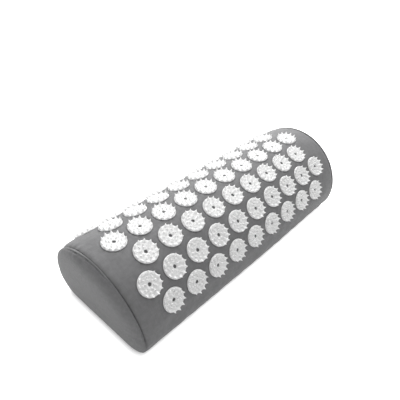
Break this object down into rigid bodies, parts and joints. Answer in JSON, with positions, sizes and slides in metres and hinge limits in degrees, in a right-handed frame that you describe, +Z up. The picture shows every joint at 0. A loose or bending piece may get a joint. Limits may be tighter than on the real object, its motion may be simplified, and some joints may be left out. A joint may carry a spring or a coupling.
{
  "type": "acupressure pillow",
  "caption": "Half-round foam pillow in a grey fabric cover set with rows of spiked white plastic discs, closed by a zip low on its rear side.",
  "frame": {"origin": "on the floor plane, under the middle of the pillow's flat base", "axes": "+X along the pillow towards the end at which the zip closes, +Y to the rear side with the zip, +Z up through the crown"},
  "size_m": [0.3904, 0.1572, 0.1081],
  "materials": {
    "cover_fabric": "fine plain-woven cotton and polyester, mid grey, matt",
    "disc_plastic": "injection-moulded white plastic, satin gloss",
    "foam": "open-cell polyurethane foam, matt off-white",
    "zip_tape": "woven polyester tape, dark grey",
    "zip_teeth": "moulded nylon, dark grey, satin",
    "zip_metal": "nickel-plated zinc, satin"
  },
  "bodies": {
    "cushion": {"foam_core": "foam", "top_panel": "cover_fabric", "base_panel": "cover_fabric", "near_end_panel": "cover_fabric", "far_end_panel": "cover_fabric", "zip_tape_upper": "zip_tape", "zip_tape_lower": "zip_tape", "zip_teeth_upper": "zip_teeth", "zip_teeth_lower": "zip_teeth", "zip_stop_closed_end": "zip_metal", "zip_stop_open_end": "zip_metal", "disc_row1_01": "disc_plastic", "disc_row1_02": "disc_plastic", "disc_row1_03": "disc_plastic", "disc_row1_04": "disc_plastic", "disc_row1_05": "disc_plastic", "disc_row1_06": "disc_plastic", "disc_row1_07": "disc_plastic", "disc_row1_08": "disc_plastic", "disc_row1_09": "disc_plastic", "disc_row2_01": "disc_plastic", "disc_row2_02": "disc_plastic", "disc_row2_03": "disc_plastic", "disc_row2_04": "disc_plastic", "disc_row2_05": "disc_plastic", "disc_row2_06": "disc_plastic", "disc_row2_07": "disc_plastic", "disc_row2_08": "disc_plastic", "disc_row2_09": "disc_plastic", "disc_row2_10": "disc_plastic", "disc_row3_01": "disc_plastic", "disc_row3_02": "disc_plastic", "disc_row3_03": "disc_plastic", "disc_row3_04": "disc_plastic", "disc_row3_05": "disc_plastic", "disc_row3_06": "disc_plastic", "disc_row3_07": "disc_plastic", "disc_row3_08": "disc_plastic", "disc_row3_09": "disc_plastic", "disc_row4_01": "disc_plastic", "disc_row4_02": "disc_plastic", "disc_row4_03": "disc_plastic", "disc_row4_04": "disc_plastic", "disc_row4_05": "disc_plastic", "disc_row4_06": "disc_plastic", "disc_row4_07": "disc_plastic", "disc_row4_08": "disc_plastic", "disc_row4_09": "disc_plastic", "disc_row4_10": "disc_plastic", "disc_row5_01": "disc_plastic", "disc_row5_02": "disc_plastic", "disc_row5_03": "disc_plastic", "disc_row5_04": "disc_plastic", "disc_row5_05": "disc_plastic", "disc_row5_06": "disc_plastic", "disc_row5_07": "disc_plastic", "disc_row5_08": "disc_plastic", "disc_row5_09": "disc_plastic"},
    "slider": {"zip_slider": "zip_metal"},
    "pull": {"zip_pull": "zip_metal"}
  },
  "joints": [
    {"name": "zip_slide", "type": "slide", "parent": "cushion", "child": "slider", "axis": [1, 0, 0], "range_m": [-0.327, 0], "deforming": ["zip_teeth_upper", "zip_teeth_lower"]},
    {"name": "pull_swing", "type": "hinge", "parent": "slider", "child": "pull", "pos_m": [0.1639, 0.07656, 0.0273], "axis": [0, 0, -1], "range_deg": [0, 180]}
  ]
}
